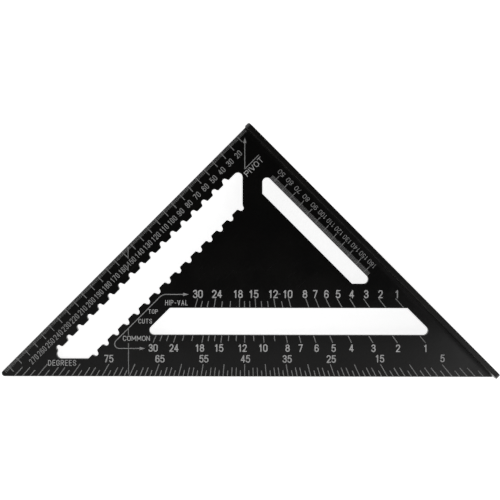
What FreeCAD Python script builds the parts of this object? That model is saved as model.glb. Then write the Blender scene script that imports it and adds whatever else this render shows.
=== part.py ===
import FreeCAD, Part
import math
import os
import Sketcher
from FreeCAD import Placement, Rotation, Vector

# A metric speed square (rafter square). The pivot corner is the origin: the ruled edge runs along +X,
# so x is the reading of the edge scale, and the stop face of the fence runs along +Y, square to it.
# +Z comes out of the printed face, and z = 0 is the underside of the blade.

doc = FreeCAD.newDocument("SpeedSquare")

DIMENSIONS = [
    ("leg", 303.0, "pivot corner to the point where the hypotenuse line meets a leg line"),
    ("blade_thick", 3.0, "plate of the blade"),
    ("tip_round", 2.6, "radius of the sharp tip at the far end of the ruled edge"),
    ("tip_flat", 0.4, "blunt end of the tip beside the fence"),
    ("edge_break", 0.3, "chamfer round the faces of the blade"),
    ("fence_thick", 4.4, "bar across the stop face"),
    ("fence_rise", 13.0, "fence above the blade and below it"),
    ("fence_corner", 5.0, "radius on the four corners of the fence, seen from its side"),
    ("fence_round", 0.2, "radius round the outer face and the stop face of the fence"),
    ("fence_end_round", 2.2, "radius on the outer edges at the ends of the fence, seen from above"),
    ("tongue", 2.0, "depth of the blade's tongue in the fence"),
    ("slot_round", 3.95, "radius in the 45 degree corners of the slots"),
    ("slot_ease", 1.0, "radius in the 135 degree corners of the slots"),
    ("scribe_near", 21.6, "ruled edge to the near side of the notched slot"),
    ("scribe_far", 44.8, "ruled edge to the far side of the notched slot"),
    ("scribe_start", 2.75, "x - y along the pivot end of the notched slot"),
    ("scribe_end", 281.3, "x + y along the far end of the notched slot"),
    ("notch_pitch", 12.7, "spacing of the scribing notches"),
    ("notch_mouth", 6.5, "width of a notch at the slot"),
    ("notch_round", 2.35, "radius at the bottom of a notch"),
    ("notch_depth", 3.7, "depth of a notch"),
    ("near_notches", 17, "notches on the side of the ruled edge"),
    ("far_notches", 15, "notches on the inner side"),
    ("grip_near", 15.3, "stop face to the near side of the ruled slot"),
    ("grip_far", 29.0, "stop face to the far side of the ruled slot"),
    ("grip_start", 21.4, "y - x along the pivot end of the ruled slot"),
    ("grip_end", 189.0, "x + y along the far end of the ruled slot"),
    ("rafter_near", 218.8, "x + y along the pivot side of the rafter slot"),
    ("rafter_far", 251.8, "x + y along the hypotenuse side of the rafter slot"),
    ("rafter_foot", 63.7, "ruled edge to the end of the rafter slot"),
    ("rafter_head", 9.9, "stop face to the other end of the rafter slot"),
    ("ink", 0.06, "thickness of the printed marks"),
    ("fine_width", 0.26, "printed width of a millimetre tick of the edge scale"),
    ("tick_width", 0.36, "printed width of a millimetre tick of the inner scale"),
    ("long_width", 0.6, "printed width of the centimetre ticks"),
    ("fan_width", 0.7, "printed width of the ticks that fan out from the pivot"),
    ("line_width", 0.65, "printed width of the arrows' lines"),
    ("margin", 0.5, "clear edge between a printed tick and the edge that it starts from"),
]

sheet = doc.addObject("Spreadsheet::Sheet", "Dimensions")
for row, (alias, value, note) in enumerate(DIMENSIONS, start=1):
    sheet.set(f"A{row}", alias)
    sheet.set(f"B{row}", str(value))
    sheet.set(f"C{row}", note)
    sheet.setAlias(f"B{row}", alias)
doc.recompute()

size = {alias: float(sheet.get(alias)) for alias, _, _ in DIMENSIONS}
DIAGONAL = math.sqrt(0.5)
TINY = 1e-6


def mm(expression):
    """An expression over the sheet's aliases, as a length."""
    words = sorted(size, key=len, reverse=True)
    for word in words:
        expression = expression.replace(word, f"<{words.index(word)}>")
    for index, word in enumerate(words):
        expression = expression.replace(f"<{index}>", f"Dimensions.{word}")
    return f"({expression}) * 1 mm"


def worth(expression):
    """The number that an expression over the sheet's aliases comes to."""
    return FreeCAD.Units.Quantity(sheet.evalExpression(mm(expression))).Value


# ---------------------------------------------------------------- blade

def new_sketch(body, name):
    """An empty sketch on the XY plane of the body."""
    sketch = body.newObject("Sketcher::SketchObject", name)
    plane = next(item for item in body.Origin.OriginFeatures if item.Role == "XY_Plane")
    sketch.AttachmentSupport = [(plane, "")]
    sketch.MapMode = "FlatFace"
    return sketch


def hold_point(sketch, geometry, end, place):
    """Fix one point of the sketch at a pair of sheet expressions."""
    for kind, expression in zip(("DistanceX", "DistanceY"), place):
        constraint = Sketcher.Constraint(kind, -1, 1, geometry, end, worth(expression))
        index = sketch.addConstraint(constraint)
        sketch.setExpression(f"Constraints[{index}]", mm(expression))


def outline(body, name, corners):
    """A closed outline of straight sides, each corner a pair of sheet expressions."""
    sketch = new_sketch(body, name)
    places = [Vector(worth(x), worth(y), 0) for x, y in corners]
    sides = range(len(corners))
    for side in sides:
        sketch.addGeometry(Part.LineSegment(places[side], places[(side + 1) % len(corners)]), False)
    for side in sides:
        sketch.addConstraint(Sketcher.Constraint("Coincident", side, 2, (side + 1) % len(corners), 1))
    for side in sides:
        hold_point(sketch, side, 1, corners[side])
    return sketch


def through_pocket(body, name, sketch):
    """A pocket from the sketch up through the whole plate."""
    pocket = body.newObject("PartDesign::Pocket", name)
    pocket.Profile = sketch
    pocket.Type = 1
    pocket.Reversed = True
    doc.recompute()
    return pocket


def upright_edges(shape, places):
    """Names of the upright edges that stand at the given pairs of sheet expressions."""
    spots = [(worth(x), worth(y)) for x, y in places]
    names = []
    for number, edge in enumerate(shape.Edges, start=1):
        foot, head = edge.Vertexes[0].Point, edge.Vertexes[-1].Point
        if abs(foot.x - head.x) + abs(foot.y - head.y) < TINY and abs(foot.z - head.z) > 1e-3:
            if any(math.hypot(foot.x - x, foot.y - y) < 0.01 for x, y in spots):
                names.append(f"Edge{number}")
    return names


def round_corners(body, name, base, places, radius):
    """Fillet the upright edges at the given corners."""
    fillet = body.newObject("PartDesign::Fillet", name)
    fillet.Base = (base, upright_edges(base.Shape, places))
    fillet.setExpression("Radius", mm(radius))
    doc.recompute()
    return fillet


def notch_sketch(body, name, middle, edge, inward):
    """One round-bottomed scribing notch; inward is the sign of y away from the slot."""
    sketch = new_sketch(body, name)
    sign = "+" if inward > 0 else "-"
    centre = (middle, f"{edge} {sign} (notch_depth - notch_round)")
    left = (f"{middle} - notch_mouth / 2", edge)
    right = (f"{middle} + notch_mouth / 2", edge)
    left_end, right_end, hub = (Vector(worth(x), worth(y), 0) for x, y in (left, right, centre))
    reach = Vector(size["notch_round"], 0, 0)
    sketch.addGeometry(Part.LineSegment(left_end, right_end), False)
    sketch.addGeometry(Part.LineSegment(right_end, hub + reach), False)
    sketch.addGeometry(Part.LineSegment(hub - reach, left_end), False)
    circle = Part.Circle(hub, Vector(0, 0, 1), size["notch_round"])
    start = 0 if inward > 0 else math.pi
    sketch.addGeometry(Part.ArcOfCircle(circle, start, start + math.pi), False)
    first, last = (1, 2) if inward > 0 else (2, 1)
    for one, one_end, other, other_end in ((0, 2, 1, 1), (1, 2, 3, first), (3, last, 2, 1), (2, 2, 0, 1)):
        sketch.addConstraint(Sketcher.Constraint("Coincident", one, one_end, other, other_end))
    hold_point(sketch, 0, 1, left)
    hold_point(sketch, 0, 2, right)
    hold_point(sketch, 3, 3, centre)
    radius = sketch.addConstraint(Sketcher.Constraint("Radius", 3, size["notch_round"]))
    sketch.setExpression(f"Constraints[{radius}]", mm("notch_round"))
    for arc_end in (1, 2):
        sketch.addConstraint(Sketcher.Constraint("Horizontal", 3, 3, 3, arc_end))
    return sketch


def notch_row(body, name, middle, edge, inward, count):
    """A row of scribing notches along x, from one pocket and a linear pattern."""
    pocket = through_pocket(body, name, notch_sketch(body, name + "Sketch", middle, edge, inward))
    row = body.newObject("PartDesign::LinearPattern", name + "Row")
    row.Originals = [pocket]
    axis = next(item for item in body.Origin.OriginFeatures if item.Role == "X_Axis")
    row.Direction = (axis, [""])
    row.setExpression("Length", mm(f"notch_pitch * ({count} - 1)"))
    row.setExpression("Occurrences", f"Dimensions.{count}")
    body.Tip = row
    doc.recompute()
    return row


def make_blade():
    """The plate: a right triangle with a tongue into the fence and three slots through it."""
    body = doc.addObject("PartDesign::Body", "Blade")
    body.Label = "blade"
    tip_end = "leg - tip_flat"
    plate = body.newObject("PartDesign::Pad", "Plate")
    plate.Profile = outline(body, "Outline", [
        ("-tongue", "0"), ("leg", "0"), ("tip_flat", tip_end), ("-tongue", tip_end)])
    plate.setExpression("Length", mm("blade_thick"))
    doc.recompute()

    scribe = [("scribe_near + scribe_start", "scribe_near"), ("scribe_end - scribe_near", "scribe_near"),
              ("scribe_end - scribe_far", "scribe_far"), ("scribe_far + scribe_start", "scribe_far")]
    grip = [("grip_near", "grip_near + grip_start"), ("grip_near", "grip_end - grip_near"),
            ("grip_far", "grip_end - grip_far"), ("grip_far", "grip_far + grip_start")]
    rafter = [("rafter_far - rafter_foot", "rafter_foot"), ("rafter_head", "rafter_far - rafter_head"),
              ("rafter_head", "rafter_near - rafter_head"), ("rafter_near - rafter_foot", "rafter_foot")]
    through_pocket(body, "ScribeSlot", outline(body, "ScribeOutline", scribe))
    through_pocket(body, "GripSlot", outline(body, "GripOutline", grip))
    last = through_pocket(body, "RafterSlot", outline(body, "RafterOutline", rafter))

    last = round_corners(body, "TipRound", last, [("leg", "0")], "tip_round")
    last = round_corners(body, "SlotRounds", last, scribe[:2] + grip[:2] + rafter[:2], "slot_round")
    last = round_corners(body, "SlotEases", last, scribe[2:3] + grip[2:] + rafter[2:], "slot_ease")

    rims = []
    for number, edge in enumerate(last.Shape.Edges, start=1):
        box = edge.BoundBox
        in_a_face = box.ZLength < TINY and (box.ZMax < TINY or box.ZMin > size["blade_thick"] - TINY)
        if in_a_face and box.XMax > 0.01:
            rims.append(f"Edge{number}")
    chamfer = body.newObject("PartDesign::Chamfer", "EdgeBreak")
    chamfer.Base = (last, rims)
    chamfer.setExpression("Size", mm("edge_break"))
    doc.recompute()

    notch_row(body, "NearNotch", "notch_pitch * 3.5", "scribe_near", -1, "near_notches")
    notch_row(body, "FarNotch", "notch_pitch * 4", "scribe_far", 1, "far_notches")
    return body


# ---------------------------------------------------------------- fence

def fence_block(name):
    """The plain block that the bar is cut from, as tall above the blade as below it."""
    block = doc.addObject("Part::Box", name)
    block.setExpression("Length", mm("fence_thick"))
    block.setExpression("Width", mm("leg - tip_flat"))
    block.setExpression("Height", mm("blade_thick + 2 * fence_rise"))
    block.setExpression("Placement.Base.x", mm("-fence_thick"))
    block.setExpression("Placement.Base.z", mm("-fence_rise"))
    doc.recompute()
    return block


def fillet(name, base, chosen, radius):
    """The base with the chosen edges rounded; chosen tells from an edge's box whether to take it."""
    rounded = doc.addObject("Part::Fillet", name)
    rounded.Base = base
    numbered = enumerate(base.Shape.Edges, start=1)
    rounded.Edges = [(number, radius, radius) for number, edge in numbered if chosen(edge.BoundBox)]
    doc.recompute()
    return rounded


def make_fence():
    """The bar along the stop face, rounded from the side and from above, grooved for the tongue."""
    def across_bar(box):
        return box.YLength + box.ZLength < TINY

    def round_a_face(box):
        return box.XLength < TINY

    def outer_upright(box):
        return box.XLength + box.YLength < TINY and box.XMax < -TINY

    cornered = fillet("CorneredBar", fence_block("SideBlock"), across_bar, size["fence_corner"])
    side_view = fillet("EasedBar", cornered, round_a_face, size["fence_round"])
    top_view = fillet("RoundEndedBar", fence_block("TopBlock"), outer_upright, size["fence_end_round"])
    bar = doc.addObject("Part::Common", "Bar")
    bar.Base = side_view
    bar.Tool = top_view

    groove = doc.addObject("Part::Box", "Groove")
    groove.setExpression("Length", mm("tongue"))
    groove.setExpression("Width", mm("leg - tip_flat"))
    groove.setExpression("Height", mm("blade_thick"))
    groove.setExpression("Placement.Base.x", mm("-tongue"))

    fence = doc.addObject("Part::Cut", "Fence")
    fence.Label = "fence"
    fence.Base = bar
    fence.Tool = groove
    doc.recompute()
    return fence


# ---------------------------------------------------------------- printed marks

# Each character is drawn by the centre lines of its strokes, on a grid whose cap height is 1.
# A stroke is a start point followed by steps: two numbers are a straight run to that point, and four
# are an arc through the first point to the second. A stroke that returns to its start is a ring.
LOWER_BOWL = [(0.0, 0.29), (0.21, 0.58, 0.42, 0.29), (0.21, 0.0, 0.0, 0.29)]
BOX_RING = [(0.0, 0.2), (0.0, 0.8), (0.21, 1.0, 0.42, 0.8), (0.42, 0.2), (0.21, 0.0, 0.0, 0.2)]
STROKES = {
    "0": [BOX_RING],
    "1": [[(0.02, 0.78), (0.18, 1.0), (0.18, 0.0)]],
    "2": [[(0.0, 0.79), (0.21, 1.0, 0.42, 0.77), (0.36, 0.54, 0.22, 0.33), (0.0, 0.0), (0.42, 0.0)]],
    "3": [[(0.02, 0.82), (0.2, 1.0, 0.4, 0.78), (0.34, 0.62, 0.16, 0.54)],
          [(0.16, 0.54), (0.36, 0.47, 0.42, 0.28), (0.21, 0.0, 0.0, 0.2)]],
    "4": [[(0.31, 0.0), (0.31, 1.0)], [(0.31, 1.0), (0.0, 0.27), (0.44, 0.27)]],
    "5": [[(0.4, 1.0), (0.07, 1.0), (0.03, 0.52), (0.25, 0.63, 0.42, 0.32), (0.2, 0.0, 0.0, 0.19)]],
    "6": [LOWER_BOWL, [(0.0, 0.29), (0.02, 0.75), (0.2, 1.0, 0.4, 0.83)]],
    "7": [[(0.0, 1.0), (0.42, 1.0), (0.14, 0.0)]],
    "8": [[(0.0, 0.27), (0.21, 0.54, 0.42, 0.27), (0.21, 0.0, 0.0, 0.27)],
          [(0.03, 0.77), (0.21, 1.0, 0.39, 0.77), (0.21, 0.54, 0.03, 0.77)]],
    "9": [[(0.42, 0.71), (0.21, 0.42, 0.0, 0.71), (0.21, 1.0, 0.42, 0.71)],
          [(0.42, 0.71), (0.4, 0.25), (0.22, 0.0, 0.02, 0.17)]],
    "A": [[(0.0, 0.0), (0.23, 1.0), (0.46, 0.0)], [(0.08, 0.33), (0.38, 0.33)]],
    "C": [[(0.42, 0.74), (0.21, 1.0, 0.0, 0.74), (0.0, 0.26), (0.21, 0.0, 0.42, 0.26)]],
    "D": [[(0.0, 0.0), (0.0, 1.0), (0.18, 1.0), (0.42, 0.5, 0.18, 0.0), (0.0, 0.0)]],
    "E": [[(0.36, 1.0), (0.0, 1.0), (0.0, 0.0), (0.36, 0.0)], [(0.0, 0.52), (0.32, 0.52)]],
    "G": [[(0.42, 0.76), (0.21, 1.0, 0.0, 0.74), (0.0, 0.26), (0.21, 0.0, 0.42, 0.26), (0.42, 0.46),
           (0.24, 0.46)]],
    "H": [[(0.0, 0.0), (0.0, 1.0)], [(0.42, 0.0), (0.42, 1.0)], [(0.0, 0.52), (0.42, 0.52)]],
    "I": [[(0.0, 0.0), (0.0, 1.0)]],
    "L": [[(0.0, 1.0), (0.0, 0.0), (0.34, 0.0)]],
    "M": [[(0.0, 0.0), (0.0, 1.0), (0.27, 0.25), (0.54, 1.0), (0.54, 0.0)]],
    "N": [[(0.0, 0.0), (0.0, 1.0), (0.42, 0.0), (0.42, 1.0)]],
    "O": [BOX_RING],
    "P": [[(0.0, 0.0), (0.0, 1.0)], [(0.0, 1.0), (0.24, 1.0), (0.42, 0.74, 0.24, 0.48), (0.0, 0.48)]],
    "R": [[(0.0, 0.0), (0.0, 1.0)], [(0.0, 1.0), (0.24, 1.0), (0.42, 0.75, 0.24, 0.5), (0.0, 0.5)],
          [(0.22, 0.5), (0.42, 0.0)]],
    "S": [[(0.42, 0.79), (0.2, 1.0, 0.01, 0.76), (0.07, 0.58, 0.21, 0.51), (0.37, 0.41, 0.42, 0.25),
           (0.21, 0.0, 0.0, 0.21)]],
    "T": [[(0.0, 1.0), (0.44, 1.0)], [(0.22, 1.0), (0.22, 0.0)]],
    "U": [[(0.0, 1.0), (0.0, 0.22), (0.21, 0.0, 0.42, 0.22), (0.42, 1.0)]],
    "V": [[(0.0, 1.0), (0.22, 0.0), (0.44, 1.0)]],
    "-": [[(0.0, 0.45), (0.24, 0.45)]],
}


# Room kept for a character that is narrower than its place in a number.
ROOM = {"1": 0.33}


def inked(face):
    """A flat face on z = 0 given the thickness of the printed ink."""
    return face.extrude(Vector(0, 0, size["ink"]))


def straight_stroke(start, stop, width):
    """The face of a straight stroke with round ends."""
    along = (stop - start).normalize() * (width / 2)
    side = Vector(-along.y, along.x, 0)
    corners = [start + side, stop + side, stop - side, start - side]
    return Part.Face(Part.Wire([
        Part.LineSegment(corners[0], corners[1]).toShape(),
        Part.Arc(corners[1], stop + along, corners[2]).toShape(),
        Part.LineSegment(corners[2], corners[3]).toShape(),
        Part.Arc(corners[3], start - along, corners[0]).toShape()]))


def stroke_face(points, width):
    """The flat face of one stroke with round ends; a closed stroke gives a ring."""
    places = [Vector(*point[-2:], 0) for point in points]
    if len(points) == 2 and len(points[1]) == 2:
        return straight_stroke(places[0], places[1], width)
    edges = []
    for here, there, step in zip(places, places[1:], points[1:]):
        curve = Part.LineSegment(here, there)
        if len(step) == 4:
            curve = Part.Arc(here, Vector(*step[:2], 0), there)
        edges.append(curve.toShape())
    path = Part.Wire(edges)
    face = Part.Face(path.makeOffset2D(width / 2))
    if path.isClosed():
        face = face.cut(Part.Face(path.makeOffset2D(-width / 2)))
    return face


def character(symbol, cap_height, width, stretch):
    """The solid of one character, its left centre line on x = 0 and its foot on y = 0."""
    reach = cap_height - width
    scale = (stretch * reach, reach)
    solids = []
    for stroke in STROKES[symbol]:
        points = [tuple(value * scale[index % 2] for index, value in enumerate(point)) for point in stroke]
        solids.append(inked(stroke_face(points, width)))
    solid = solids[0]
    if len(solids) > 1:
        solid = solid.multiFuse(solids[1:]).removeSplitter()
    return solid.Solids[0].translated(Vector(0, width / 2, 0))


def span(symbol):
    """Width of a character's place between outermost centre lines, over its centre-line height."""
    widest = max(right for stroke in STROKES[symbol] for point in stroke for right in point[::2])
    return ROOM.get(symbol, widest)


def on_face(place, reading, back=False):
    """Placement of a mark at a point of the blade's plane, its own x along the reading direction."""
    turn = Rotation(Vector(0, 0, 1), reading)
    if back:
        turn = turn * Rotation(Vector(1, 0, 0), 180)
    return Placement(Vector(*place, 0), turn)


def put(solids, placement):
    """Copies of the solids, moved from their own plane to the blade's."""
    moved = []
    for solid in solids:
        copy = solid.copy()
        copy.Placement = placement.multiply(copy.Placement)
        moved.append(copy)
    return moved


CAST = {}


def text(symbols, place, reading, style, back=False):
    """The solids of a line of characters, centred on a point; a style holds the letter form."""
    cap_height, width, stretch, gap = style
    reach = cap_height - width
    total = sum(span(symbol) * stretch for symbol in symbols) + gap * (len(symbols) - 1)
    cursor = -total / 2
    solids = []
    for symbol in symbols:
        if (symbol, style) not in CAST:
            CAST[symbol, style] = character(symbol, *style[:3])
        solids += put([CAST[symbol, style]], Placement(
            Vector(cursor * reach, -cap_height / 2, 0), Rotation()))
        cursor += span(symbol) * stretch + gap
    return put(solids, on_face(place, reading, back))


def word(symbols, place, reading, cap_height, width, length):
    """A word set to a given overall length by stretching its characters."""
    reach = cap_height - width
    narrow = sum(span(symbol) for symbol in symbols)
    stretch = ((length - width) / reach - WORD_GAP * (len(symbols) - 1)) / narrow
    return text(symbols, place, reading, (cap_height, width, stretch, WORD_GAP))


def tick(place, direction, length, width, back=False):
    """One straight printed line from a point of the blade's plane."""
    box = Part.makeBox(length, width, size["ink"], Vector(0, -width / 2, 0))
    return put([box], on_face(place, direction, back))[0]


def arrow_head(tip, reading):
    """A filled arrow head that points along the reading direction."""
    corners = [Vector(0, 0, 0), Vector(-HEAD_LENGTH, HEAD_HALF, 0), Vector(-HEAD_LENGTH, -HEAD_HALF, 0)]
    return put([inked(Part.Face(Part.makePolygon(corners + corners[:1])))], on_face(tip, reading))


def across(along, out):
    """A point given by its place along the hypotenuse and its distance from the pivot towards it.

    The first runs from the line that halves the pivot corner towards the fence end."""
    return ((out - along) * DIAGONAL, (out + along) * DIAGONAL)


def ray_tick(angle, start, extent, back=False):
    """A tick on the line from the pivot at an angle to the fence, between two distances out."""
    lean = math.radians(45 - angle)
    place = across(start * math.tan(lean), start)
    direction = 90 - angle if extent > 0 else 270 - angle
    return tick(place, direction, abs(extent) / math.cos(lean), size["fan_width"], back)


def ray_place(angle, anchor, out, nudge=0.0):
    """Centre of the number for an angle: on its ray at the anchor distance, then square to the edge.

    The nudge moves it along the hypotenuse."""
    return across(anchor * math.tan(math.radians(45 - angle)) + nudge, out)


def pitch_angle(rise, run):
    """Angle at the pivot for a roof's rise over a run, in degrees."""
    return math.degrees(math.atan2(rise, run))


# Directions of reading: along the hypotenuse, back along the ruled edge, and back along the fence.
ALONG_HYPOTENUSE = 135
ALONG_RULED_EDGE = 180
ALONG_FENCE = 270

# Letter forms: cap height, stroke width, stretch across, and gap between centre lines over the height.
# A pair of forms is for numbers of two digits and of three.
EDGE_DIGITS = {2: (5.1, 0.64, 1.05, 0.3), 3: (5.0, 0.62, 0.95, 0.3)}
INNER_DIGITS = {2: (4.2, 0.5, 1.5, 0.32), 3: (4.2, 0.5, 1.24, 0.3)}
LARGE_DIGITS = (7.0, 1.0, 1.19, 0.25)
MEDIUM_DIGITS = (6.6, 0.95, 1.18, 0.25)
WORD_GAP = 0.33
HEAD_LENGTH = 4.8
HEAD_HALF = 1.4

# Runs of a common rafter and of a hip rafter over the same roof, and the rises marked against them.
COMMON_RUN = 12.0
HIP_RUN = COMMON_RUN * math.sqrt(2)
NUMBERED_RISES = [30, 24, 18, 15, 12, 10, 8, 7, 6, 5, 4, 3, 2, 1]
PLAIN_RISES = [28, 26, 22, 20, 17, 16, 14, 13, 11]

# Length of a degree tick by its angle's remainder from five.
DEGREE_TICKS = {0: 10.3, 1: 4.9, 2: 7.4, 3: 7.4, 4: 4.9}


def ruler_ticks(start, direction, readings, short, long, fine, back=False):
    """The ticks of a millimetre scale; start gives the place of a reading's tick."""
    solids = []
    for reading in readings:
        length, width = (short, fine) if reading % 10 else (long, size["long_width"])
        solids.append(tick(start(reading), direction, length, width, back))
    return solids


def ruled_ticks(back=False):
    """Millimetre ticks along the ruled edge, longer at each centimetre."""
    short, long = 2.8, 6.6
    first = 3 if back else 1
    last = int(size["leg"] - 2.8 * size["tip_round"])
    readings = range(first, last + 1)
    return ruler_ticks(lambda x: (x, size["margin"]), 90, readings, short, long, size["fine_width"], back)


def ruled_numbers(back=False):
    """Numbers along the ruled edge."""
    first, last, middle = 20, 270, 11.95
    solids = []
    for x in range(first, last + 1, 10):
        reading = 0 if back else ALONG_RULED_EDGE
        solids += text(str(x), (x, middle), reading, EDGE_DIGITS[len(str(x))], back)
    return solids


def inner_ticks():
    """Millimetre ticks along the ruled slot, measured from the ruled edge."""
    first, last, short, long = 46, 164, 3.4, 6.8
    edge = size["grip_near"] - size["margin"]
    readings = range(first, last + 1)
    return ruler_ticks(lambda y: (edge, y), 180, readings, short, long, size["tick_width"])


def inner_numbers():
    """Numbers of the scale along the ruled slot, each set a little below its tick."""
    first, last, middle, drop = 50, 160, 5.05, 0.4
    solids = []
    for y in range(first, last + 1, 10):
        solids += text(str(y), (middle, y - drop), ALONG_FENCE, INNER_DIGITS[len(str(y))])
    return solids


def degree_ticks(back=False):
    """Degree ticks along the hypotenuse, on rays from the pivot."""
    edge = size["leg"] * DIAGONAL - size["margin"]
    return [ray_tick(angle, edge, -DEGREE_TICKS[angle % 5], back) for angle in range(1, 89)]


def degree_numbers(back=False):
    """Every second five of the degree scale; the lifts set the first two further from their ticks."""
    first, last, anchor, out = 5, 75, 202.5, 198.8
    nudges = {5: 1.0, 25: 1.1, 35: 1.0, 45: 0.7, 55: 0.4, 65: 0.4, 75: -0.7}
    lifts = {5: 0.7, 15: 0.4}
    reading = 315 if back else ALONG_HYPOTENUSE
    solids = []
    for angle in range(first, last + 1, 10):
        place = ray_place(angle, anchor, out - lifts.get(angle, 0.0), nudges.get(angle, 0.0))
        solids += text(str(angle), place, reading, MEDIUM_DIGITS, back)
    return solids


def rise_ticks(run, edge, numbered_extent, plain_extent, plain_rises):
    """Ticks of a rafter scale on one side of the rafter slot."""
    solids = [ray_tick(pitch_angle(rise, run), edge, numbered_extent) for rise in NUMBERED_RISES]
    return solids + [ray_tick(pitch_angle(rise, run), edge, plain_extent) for rise in plain_rises]


def rise_numbers(run, anchor, out, style, nudges):
    """Numbers of a rafter scale; the nudges keep the crowded ones apart."""
    solids = []
    for rise in NUMBERED_RISES:
        place = ray_place(pitch_angle(rise, run), anchor, out, nudges.get(rise, 0.0))
        solids += text(str(rise), place, ALONG_HYPOTENUSE, style)
    return solids


def hip_valley_ticks():
    """Hip and valley rafter ticks, on the pivot side of the rafter slot."""
    edge = size["rafter_near"] * DIAGONAL - size["margin"]
    return rise_ticks(HIP_RUN, edge, -7.8, -5.4, PLAIN_RISES)


def hip_valley_numbers():
    """Hip and valley rafter numbers, with the dash between twelve and ten."""
    anchor, out = 148.6, 142.6
    nudges = {30: 0.8, 24: 1.6, 18: -1.2, 15: -1.2, 12: -0.8, 10: -1.2, 8: -1.4, 7: -1.0, 6: -0.5,
              5: -0.5, 4: 0.4, 3: 0.8, 2: -0.2, 1: -0.5}
    dash_place, dash_length = across(29.0, out), 1.9
    dash = tick(dash_place, ALONG_HYPOTENUSE, dash_length, size["tick_width"])
    return rise_numbers(HIP_RUN, anchor, out, LARGE_DIGITS, nudges) + [dash]


def common_ticks():
    """Common rafter ticks, on the hypotenuse side of the rafter slot."""
    edge = size["rafter_far"] * DIAGONAL + size["margin"]
    return rise_ticks(COMMON_RUN, edge, 6.2, 4.8, PLAIN_RISES + [9])


def common_numbers():
    """Common rafter numbers."""
    anchor, out = 185.5, 189.4
    nudges = {30: 0.3, 24: 0.7, 18: -1.6, 15: -1.5, 12: -1.8, 10: -0.8, 7: -0.5, 6: 0.4, 5: 0.5, 4: -0.5,
              1: -0.5}
    return rise_numbers(COMMON_RUN, anchor, out, MEDIUM_DIGITS, nudges)


def rounded_route(corners, radii):
    """Stroke points for a path through the corners, each inner corner rounded by its own radius."""
    points = [(corners[0].x, corners[0].y)]
    for before, corner, after, radius in zip(corners, corners[1:], corners[2:], radii):
        arriving = (corner - before).normalize()
        leaving = (after - corner).normalize()
        half_turn = arriving.getAngle(leaving) / 2
        setback = radius * math.tan(half_turn)
        start, end = corner - arriving * setback, corner + leaving * setback
        bulge = (leaving - arriving).normalize() * (radius / math.cos(half_turn) - radius)
        middle = corner + bulge
        points += [(start.x, start.y), (middle.x, middle.y, end.x, end.y)]
    return points + [(corners[-1].x, corners[-1].y)]


def route_arrows():
    """The line beside the notched slot that leads to the two rafter scales, with an arrow at each end."""
    hip_tip, common_tip = across(-48.3, 143.0), across(-86.0, 189.9)
    level, hip_bend, common_bend = 50.9, 8.0, 3.9
    back_off = Vector(*across(HEAD_LENGTH - 1, 0), 0)
    hip_end, common_end = Vector(*hip_tip, 0) - back_off, Vector(*common_tip, 0) - back_off
    corners = [hip_end, Vector(sum(hip_tip) - level, level, 0),
               Vector(sum(common_tip) - level, level, 0), common_end]
    line = inked(stroke_face(rounded_route(corners, [hip_bend, common_bend]), size["line_width"]))
    heads = arrow_head(hip_tip, ALONG_HYPOTENUSE) + arrow_head(common_tip, ALONG_HYPOTENUSE)
    return [line.multiFuse(heads).removeSplitter().Solids[0]]


def pivot_arrow():
    """The arrow that points at the pivot corner, and the line that it stands on over the word."""
    tip, foot, line_end = (5.8, 5.8), (24.8, 24.8), (8.0, 24.8)
    neck = tip[0] + (HEAD_LENGTH - 1) * DIAGONAL
    line = inked(stroke_face([(neck, neck), foot, line_end], size["line_width"]))
    return [line.multiFuse(arrow_head(tip, 225)).removeSplitter().Solids[0]]


def square_line():
    """The line square to the hypotenuse, in four lengths between the other marks."""
    along = -100.5
    lengths = [(101.5, 112.1), (117.3, 122.4), (172.9, 178.6), (185.2, 212.5)]
    crossed = Part.makeCompound(route_arrows() + ruled_ticks())
    solids = []
    for near, far in lengths:
        line = tick(across(along, near), 45, far - near, size["line_width"])
        solids += line.cut(crossed).Solids
    return solids


def words():
    """The names of the scales: each node's name and its solids."""
    top_cuts = (word("TOP", across(-79.1, 157.9), ALONG_HYPOTENUSE, 3.9, 0.5, 8.4) +
                word("CUTS", across(-85.9, 166.2), ALONG_HYPOTENUSE, 4.1, 0.5, 11.7))
    return {
        "pivot_word": word("PIVOT", (17.9, 28.9), ALONG_RULED_EDGE, 5.0, 0.65, 20.0),
        "hip_valley_word": word("HIP-VAL", across(-58.9, 150.2), ALONG_HYPOTENUSE, 4.7, 0.5, 19.5),
        "top_cuts_word": top_cuts,
        "common_word": word("COMMON", across(-93.6, 181.1), ALONG_HYPOTENUSE, 4.4, 0.55, 23.4),
        "degrees_word": word("DEGREES", across(-158.0, 202.5), ALONG_HYPOTENUSE, 5.0, 0.6, 24.3),
    }


def add_marks(name, solids, height):
    """A node of printed marks, laid on the blade at a height."""
    feature = doc.addObject("Part::Feature", name)
    feature.Label = name
    feature.Shape = Part.makeCompound(solids)
    feature.Placement = Placement(Vector(0, 0, height), Rotation())
    return feature


nodes = [make_blade(), make_fence()]

face = size["blade_thick"]
front_marks = {
    "edge_ticks": ruled_ticks(), "edge_numbers": ruled_numbers(),
    "inner_ticks": inner_ticks(), "inner_numbers": inner_numbers(),
    "degree_ticks": degree_ticks(), "degree_numbers": degree_numbers(),
    "hip_valley_ticks": hip_valley_ticks(), "hip_valley_numbers": hip_valley_numbers(),
    "common_ticks": common_ticks(), "common_numbers": common_numbers(),
    "route_arrows": route_arrows(), "square_line": square_line(), "pivot_arrow": pivot_arrow(),
} | words()
back_marks = {
    "back_edge_ticks": ruled_ticks(back=True), "back_edge_numbers": ruled_numbers(back=True),
    "back_degree_ticks": degree_ticks(back=True), "back_degree_numbers": degree_numbers(back=True),
}
nodes += [add_marks(name, solids, face) for name, solids in front_marks.items()]
nodes += [add_marks(name, solids, 0) for name, solids in back_marks.items()]

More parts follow.
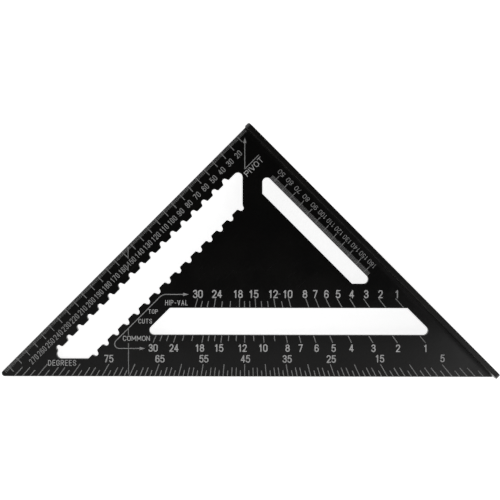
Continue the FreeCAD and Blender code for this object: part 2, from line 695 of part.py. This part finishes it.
doc.recompute()
for item in doc.Objects:
    if "Invalid" in item.State or "Error" in item.State:
        raise RuntimeError(f"{item.Name} failed: {item.State}")
for node in nodes:
    if node.Shape.isNull() or not node.Shape.isValid():
        raise RuntimeError(f"{node.Label} has no valid shape")

os.makedirs("parts", exist_ok=True)
for node in nodes:
    node.Shape.exportStep(f"parts/{node.Label}.step")
    box = node.Shape.optimalBoundingBox(False)
    print(f"{node.Label}: {len(node.Shape.Solids)} solids, {box.XLength:.1f} x {box.YLength:.1f} x "
          f"{box.ZLength:.2f} mm")
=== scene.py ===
import math

import bpy
from mathutils import Matrix, Quaternion, Vector


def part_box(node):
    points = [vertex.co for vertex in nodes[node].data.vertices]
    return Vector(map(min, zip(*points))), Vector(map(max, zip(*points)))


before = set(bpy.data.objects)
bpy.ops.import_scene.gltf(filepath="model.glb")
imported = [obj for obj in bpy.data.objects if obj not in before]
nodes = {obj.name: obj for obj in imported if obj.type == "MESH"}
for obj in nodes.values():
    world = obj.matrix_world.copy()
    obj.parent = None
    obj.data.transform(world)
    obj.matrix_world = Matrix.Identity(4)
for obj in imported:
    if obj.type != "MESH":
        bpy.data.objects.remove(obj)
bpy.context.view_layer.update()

# A black anodised speed square on a pale studio floor, seen from straight above its printed face.
# Everything is in metres, in the frame of the CAD model: x along the ruled edge, y along the fence.

blade_low, blade_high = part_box("blade")
fence_low, fence_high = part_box("fence")
middle = (blade_low + blade_high) / 2

MM = 0.001

# The angle about Z between the model's axes and the picture's: the pivot corner comes to the top.
PICTURE_TURN = math.radians(135)

# Noise mostly lies between these two values.
NOISE_SPAN = (0.3, 0.7)

# Hairlines of the black finish: direction in degrees, length, and spacing.
HAIRLINES = ((38, 30 * MM, 0.5 * MM), (-22, 22 * MM, 0.6 * MM),
             (81, 22 * MM, 0.6 * MM), (128, 22 * MM, 0.6 * MM))

# How pale each kind of printing is; the first entry found in a node's name counts.
INK_LEVELS = {"edge_": 0.48, "inner_numbers": 0.64, "inner_": 0.54, "_arrow": 0.59, "_ticks": 0.44,
              "_line": 0.44, "degree": 0.74, "_numbers": 0.85, "_word": 0.87}


# ---------------------------------------------------------------- node helpers

def new_material(name, **settings):
    """A node material and its Principled shader, with plain values set on the shader's own sockets."""
    material = bpy.data.materials.new(name)
    material.use_nodes = True
    shader = material.node_tree.nodes["Principled BSDF"]
    for socket, value in settings.items():
        shader.inputs[socket.replace("_", " ")].default_value = value
    return material, shader


def add(tree, kind, inputs=(), **properties):
    """A node whose inputs are linked to sockets or set to values; returns the node."""
    node = tree.nodes.new("ShaderNode" + kind)
    for name, value in properties.items():
        setattr(node, name, value)
    for key, value in dict(inputs).items():
        if isinstance(value, bpy.types.NodeSocket):
            tree.links.new(value, node.inputs[key])
        else:
            node.inputs[key].default_value = value
    return node


def calculate(tree, operation, first, second=0.0):
    """The result of a Math node."""
    return add(tree, "Math", {0: first, 1: second}, operation=operation).outputs[0]


def remap(tree, value, from_low, from_high, to_low, to_high):
    """A value carried smoothly from one range to another."""
    inputs = {"Value": value, "From Min": from_low, "From Max": from_high,
              "To Min": to_low, "To Max": to_high}
    return add(tree, "MapRange", inputs, interpolation_type="SMOOTHSTEP").outputs["Result"]


def blend_colour(tree, factor, first, second):
    """A mix of two colours."""
    node = add(tree, "Mix", data_type="RGBA")
    sockets = {"Factor_Float": factor, "A_Color": first, "B_Color": second}
    for item in node.inputs:
        if item.identifier in sockets:
            value = sockets[item.identifier]
            if isinstance(value, bpy.types.NodeSocket):
                tree.links.new(value, item)
            else:
                item.default_value = value
    return next(item for item in node.outputs if item.identifier == "Result_Color")


def noise(tree, place, size, detail=2.0, roughness=0.5, distortion=0.0):
    """Noise whose blotches are about size metres across."""
    inputs = {"Vector": place, "Scale": 1 / size, "Detail": detail,
              "Roughness": roughness, "Distortion": distortion}
    return add(tree, "TexNoise", inputs).outputs["Fac"]


def grey(level, warmth=0.0):
    """An opaque grey, a little warmer or cooler than neutral."""
    return (level * (1 + warmth), level, level * (1 - warmth), 1)


# ---------------------------------------------------------------- materials

def hairlines(tree, place, direction, length, spacing):
    """A few fine hairlines in one direction, as a mask: the crests of a drawn-out noise."""
    inputs = {"Vector": place, "Rotation": (0, 0, math.radians(direction)),
              "Scale": (1 / length, 1 / spacing, 1 / spacing)}
    drawn_out = add(tree, "Mapping", inputs).outputs["Vector"]
    drift = noise(tree, drawn_out, size=1.0, detail=1.0, distortion=0.35)
    crest, full = 0.742, 0.765
    return remap(tree, drift, crest, full, 0, 1)


def rubbed_edges(tree, place, normal, amount):
    """Worn finish, as a mask: in patches, where the surface slopes as on a chamfer or a rounded rim."""
    facing = calculate(tree, "ABSOLUTE", add(tree, "SeparateXYZ", {0: normal}).outputs["Z"])
    slope = calculate(tree, "MULTIPLY", remap(tree, facing, 0.25, 0.6, 0, 1),
                      remap(tree, facing, 0.8, 0.97, 1, 0))
    patches = remap(tree, noise(tree, place, 9 * MM, detail=5.0, roughness=0.65), 0.5, 0.72, 0, 1)
    flecks = remap(tree, noise(tree, place, 0.9 * MM, detail=3.0, roughness=0.6), 0.45, 0.62, 0, 1)
    wear = calculate(tree, "MULTIPLY", slope, calculate(tree, "MULTIPLY", patches, flecks))
    return calculate(tree, "MULTIPLY", wear, amount)


def corner_band(tree, place, dulling):
    """What is added to the roughness in a narrow band along the fence's stop face."""
    from_fence = add(tree, "SeparateXYZ", {0: place}).outputs["X"]
    band_start, band_end = 0.5 * MM, 4.5 * MM
    return remap(tree, from_fence, band_start, band_end, dulling, 0)


def anodised(name, shade, gloss, grain_size, wear_amount, corner_dulling=0.0):
    """Black anodised aluminium: a fine blasted grain, handling marks, hairlines and rubbed edges."""
    material, shader = new_material(name, IOR=1.5, Specular_IOR_Level=0.5)
    tree = material.node_tree
    coordinates = add(tree, "TexCoord")
    place, normal = coordinates.outputs["Object"], coordinates.outputs["Normal"]

    grain = noise(tree, place, grain_size, roughness=0.6)
    speckle = remap(tree, grain, *NOISE_SPAN, 0, 1)
    clouds = noise(tree, place, 45 * MM, detail=3.0, roughness=0.55, distortion=0.6)
    smears = noise(tree, place, 16 * MM, detail=4.0, roughness=0.6, distortion=1.2)
    smudges = remap(tree, smears, 0.5, 0.75, 0, 1)
    wear = rubbed_edges(tree, place, normal, wear_amount)
    lines = hairlines(tree, place, *HAIRLINES[0])
    for more in HAIRLINES[1:]:
        lines = calculate(tree, "MAXIMUM", lines, hairlines(tree, place, *more))

    tint = remap(tree, clouds, *NOISE_SPAN, 0, 1)
    colour = blend_colour(tree, tint, grey(shade * 0.8, 0.08), grey(shade * 1.2, 0.16))
    colour = blend_colour(tree, calculate(tree, "MULTIPLY", speckle, 0.35), colour, grey(shade * 2.2))
    colour = blend_colour(tree, calculate(tree, "MULTIPLY", lines, 0.25), colour, grey(shade * 6))
    colour = blend_colour(tree, wear, colour, grey(0.42, 0.02))
    tree.links.new(colour, shader.inputs["Base Color"])
    tree.links.new(calculate(tree, "MULTIPLY", wear, 0.9), shader.inputs["Metallic"])

    dull = remap(tree, clouds, *NOISE_SPAN, gloss - 0.02, gloss + 0.03)
    dull = calculate(tree, "ADD", dull, calculate(tree, "MULTIPLY", smudges, 0.035))
    dull = calculate(tree, "ADD", dull, calculate(tree, "MULTIPLY", lines, 0.06))
    dull = calculate(tree, "ADD", dull, calculate(tree, "MULTIPLY", speckle, 0.03))
    if corner_dulling:
        dull = calculate(tree, "ADD", dull, corner_band(tree, place, corner_dulling))
    tree.links.new(dull, shader.inputs["Roughness"])

    height = calculate(tree, "SUBTRACT", grain, calculate(tree, "MULTIPLY", lines, 0.6))
    bump = add(tree, "Bump", {"Height": height, "Strength": 0.5, "Distance": 0.012 * MM})
    tree.links.new(bump.outputs["Normal"], shader.inputs["Normal"])
    return material


def ink(name, level):
    """Pale printed lettering: chalky, finely speckled, and thinner where hands have rubbed it."""
    material, shader = new_material(name, IOR=1.45, Specular_IOR_Level=0.3)
    tree = material.node_tree
    place = add(tree, "TexCoord").outputs["Object"]
    grain = noise(tree, place, 0.14 * MM, roughness=0.6)
    speckle = remap(tree, grain, 0.3, 0.72, 0, 1)
    rubbed = remap(tree, noise(tree, place, 28 * MM, detail=4.0, roughness=0.6), 0.42, 0.75, 0, 1)
    colour = blend_colour(tree, speckle, grey(level * 0.82, -0.01), grey(level * 1.12, 0.015))
    colour = blend_colour(tree, calculate(tree, "MULTIPLY", rubbed, 0.28), colour, grey(level * 0.4))
    tree.links.new(colour, shader.inputs["Base Color"])
    tree.links.new(remap(tree, grain, *NOISE_SPAN, 0.5, 0.72), shader.inputs["Roughness"])
    bump = add(tree, "Bump", {"Height": grain, "Strength": 0.4, "Distance": 0.015 * MM})
    tree.links.new(bump.outputs["Normal"], shader.inputs["Normal"])
    return material


def floor_paper():
    """White paper with a faint tooth, giving off light of its own so that no dark shadow falls on it."""
    material, shader = new_material("studio_paper", Roughness=0.9, Specular_IOR_Level=0.2,
                                    Emission_Color=grey(1.0), Emission_Strength=0.84)
    tree = material.node_tree
    place = add(tree, "TexCoord").outputs["Object"]
    tone = remap(tree, noise(tree, place, 400 * MM, detail=3.0), *NOISE_SPAN, 0, 1)
    tree.links.new(blend_colour(tree, tone, grey(0.88), grey(0.9)), shader.inputs["Base Color"])
    tooth = noise(tree, place, 1.2 * MM, detail=3.0)
    bump = add(tree, "Bump", {"Height": tooth, "Strength": 0.1, "Distance": 0.05 * MM})
    tree.links.new(bump.outputs["Normal"], shader.inputs["Normal"])
    return material


def dress(name, material):
    """Give a CAD node its material."""
    nodes[name].material_slots[0].material = material


def dress_square():
    """Materials of every CAD node."""
    dress("blade", anodised("blade_anodised", shade=0.0032, gloss=0.18, grain_size=0.32 * MM,
                            wear_amount=0.5, corner_dulling=0.12))
    # The fence's colour is set more than twice as pale as the blade's. This is a painted highlight that
    # stands in for the light its rim catches.
    dress("fence", anodised("fence_anodised_painted_light", shade=0.0070, gloss=0.24, grain_size=0.4 * MM,
                            wear_amount=0.45))
    inks = {kind: ink("ink_" + kind.strip("_"), level) for kind, level in INK_LEVELS.items()}
    for name in nodes:
        if name not in ("blade", "fence"):
            dress(name, next(inks[kind] for kind in INK_LEVELS if kind in name))


# ---------------------------------------------------------------- studio

def make_floor():
    """The floor, leaning so that the square rests on it by the fence's rim and its far tip."""
    rim_inset, gap, half = 1 * MM, 0.05 * MM, 4.0
    rest = Vector((fence_high.x - rim_inset, middle.y, fence_low.z - gap))
    lean = math.atan2(blade_low.z - fence_low.z, blade_high.x - rest.x)
    mesh = bpy.data.meshes.new("floor")
    mesh.from_pydata([(-half, -half, 0), (half, -half, 0), (half, half, 0), (-half, half, 0)],
                     [], [(0, 1, 2, 3)])
    floor = bpy.data.objects.new("floor", mesh)
    floor.matrix_world = Matrix.Translation(rest) @ Matrix.Rotation(-lean, 4, "Y")
    floor.data.materials.append(floor_paper())
    bpy.context.collection.objects.link(floor)


def softbox(name, along, out, length, depth, radiance):
    """A soft panel overhead, level with the blade.

    Its place is given along the hypotenuse, towards the fence, and out from the pivot corner."""
    height = 1.3
    data = bpy.data.lights.new(name, "AREA")
    data.shape = "RECTANGLE"
    data.size, data.size_y = length, depth
    data.energy = radiance * math.pi * length * depth
    light = bpy.data.objects.new(name, data)
    turn = Matrix.Rotation(PICTURE_TURN, 4, "Z")
    light.matrix_world = turn @ Matrix.Translation((along, -out, height))
    light.visible_camera = False
    bpy.context.collection.objects.link(light)


def make_world():
    """A pale room with a dark ceiling: bright round the horizon and dim overhead."""
    world = bpy.data.worlds.new("studio")
    world.use_nodes = True
    tree = world.node_tree
    direction = add(tree, "TexCoord").outputs["Generated"]
    up = add(tree, "SeparateXYZ", {0: direction}).outputs["Z"]
    pale_below, dark_above = 0.38, 0.75
    level = remap(tree, up, pale_below, dark_above, 1.0, 0.030)
    background = tree.nodes["Background"]
    background.inputs["Color"].default_value = (1, 1, 1, 1)
    tree.links.new(level, background.inputs["Strength"])
    bpy.context.scene.world = world


def make_lights():
    """Soft panels beyond the hypotenuse, stronger at the fence's end; the blade mirrors their near edge."""
    softbox("key", along=-0.22, out=0.51, length=1.56, depth=0.27, radiance=0.36)
    softbox("key_end", along=0.64, out=0.51, length=0.46, depth=0.27, radiance=0.8)
    softbox("key_far_end", along=0.72, out=0.86, length=0.55, depth=0.45, radiance=1.2)


def make_camera():
    """The camera, straight above the blade and almost square to it, with the pivot at the top."""
    data = bpy.data.cameras.new("camera")
    data.sensor_width = 36
    data.lens = 44.14
    data.clip_start, data.clip_end = 0.01, 20
    camera = bpy.data.objects.new("camera", data)
    place = Vector((0.06009, 0.0689, 0.53063))
    lean = Vector((-0.0254, 0.0032, 0.001))    # a turn in the camera's own axes, in radians
    turn = Matrix.Rotation(PICTURE_TURN, 3, "Z") @ Quaternion(lean.normalized(), lean.length).to_matrix()
    camera.matrix_world = Matrix.Translation(place) @ turn.to_4x4()
    bpy.context.collection.objects.link(camera)
    bpy.context.scene.camera = camera


dress_square()
make_floor()
make_world()
make_lights()
make_camera()
bpy.context.scene.view_settings.view_transform = "Standard"
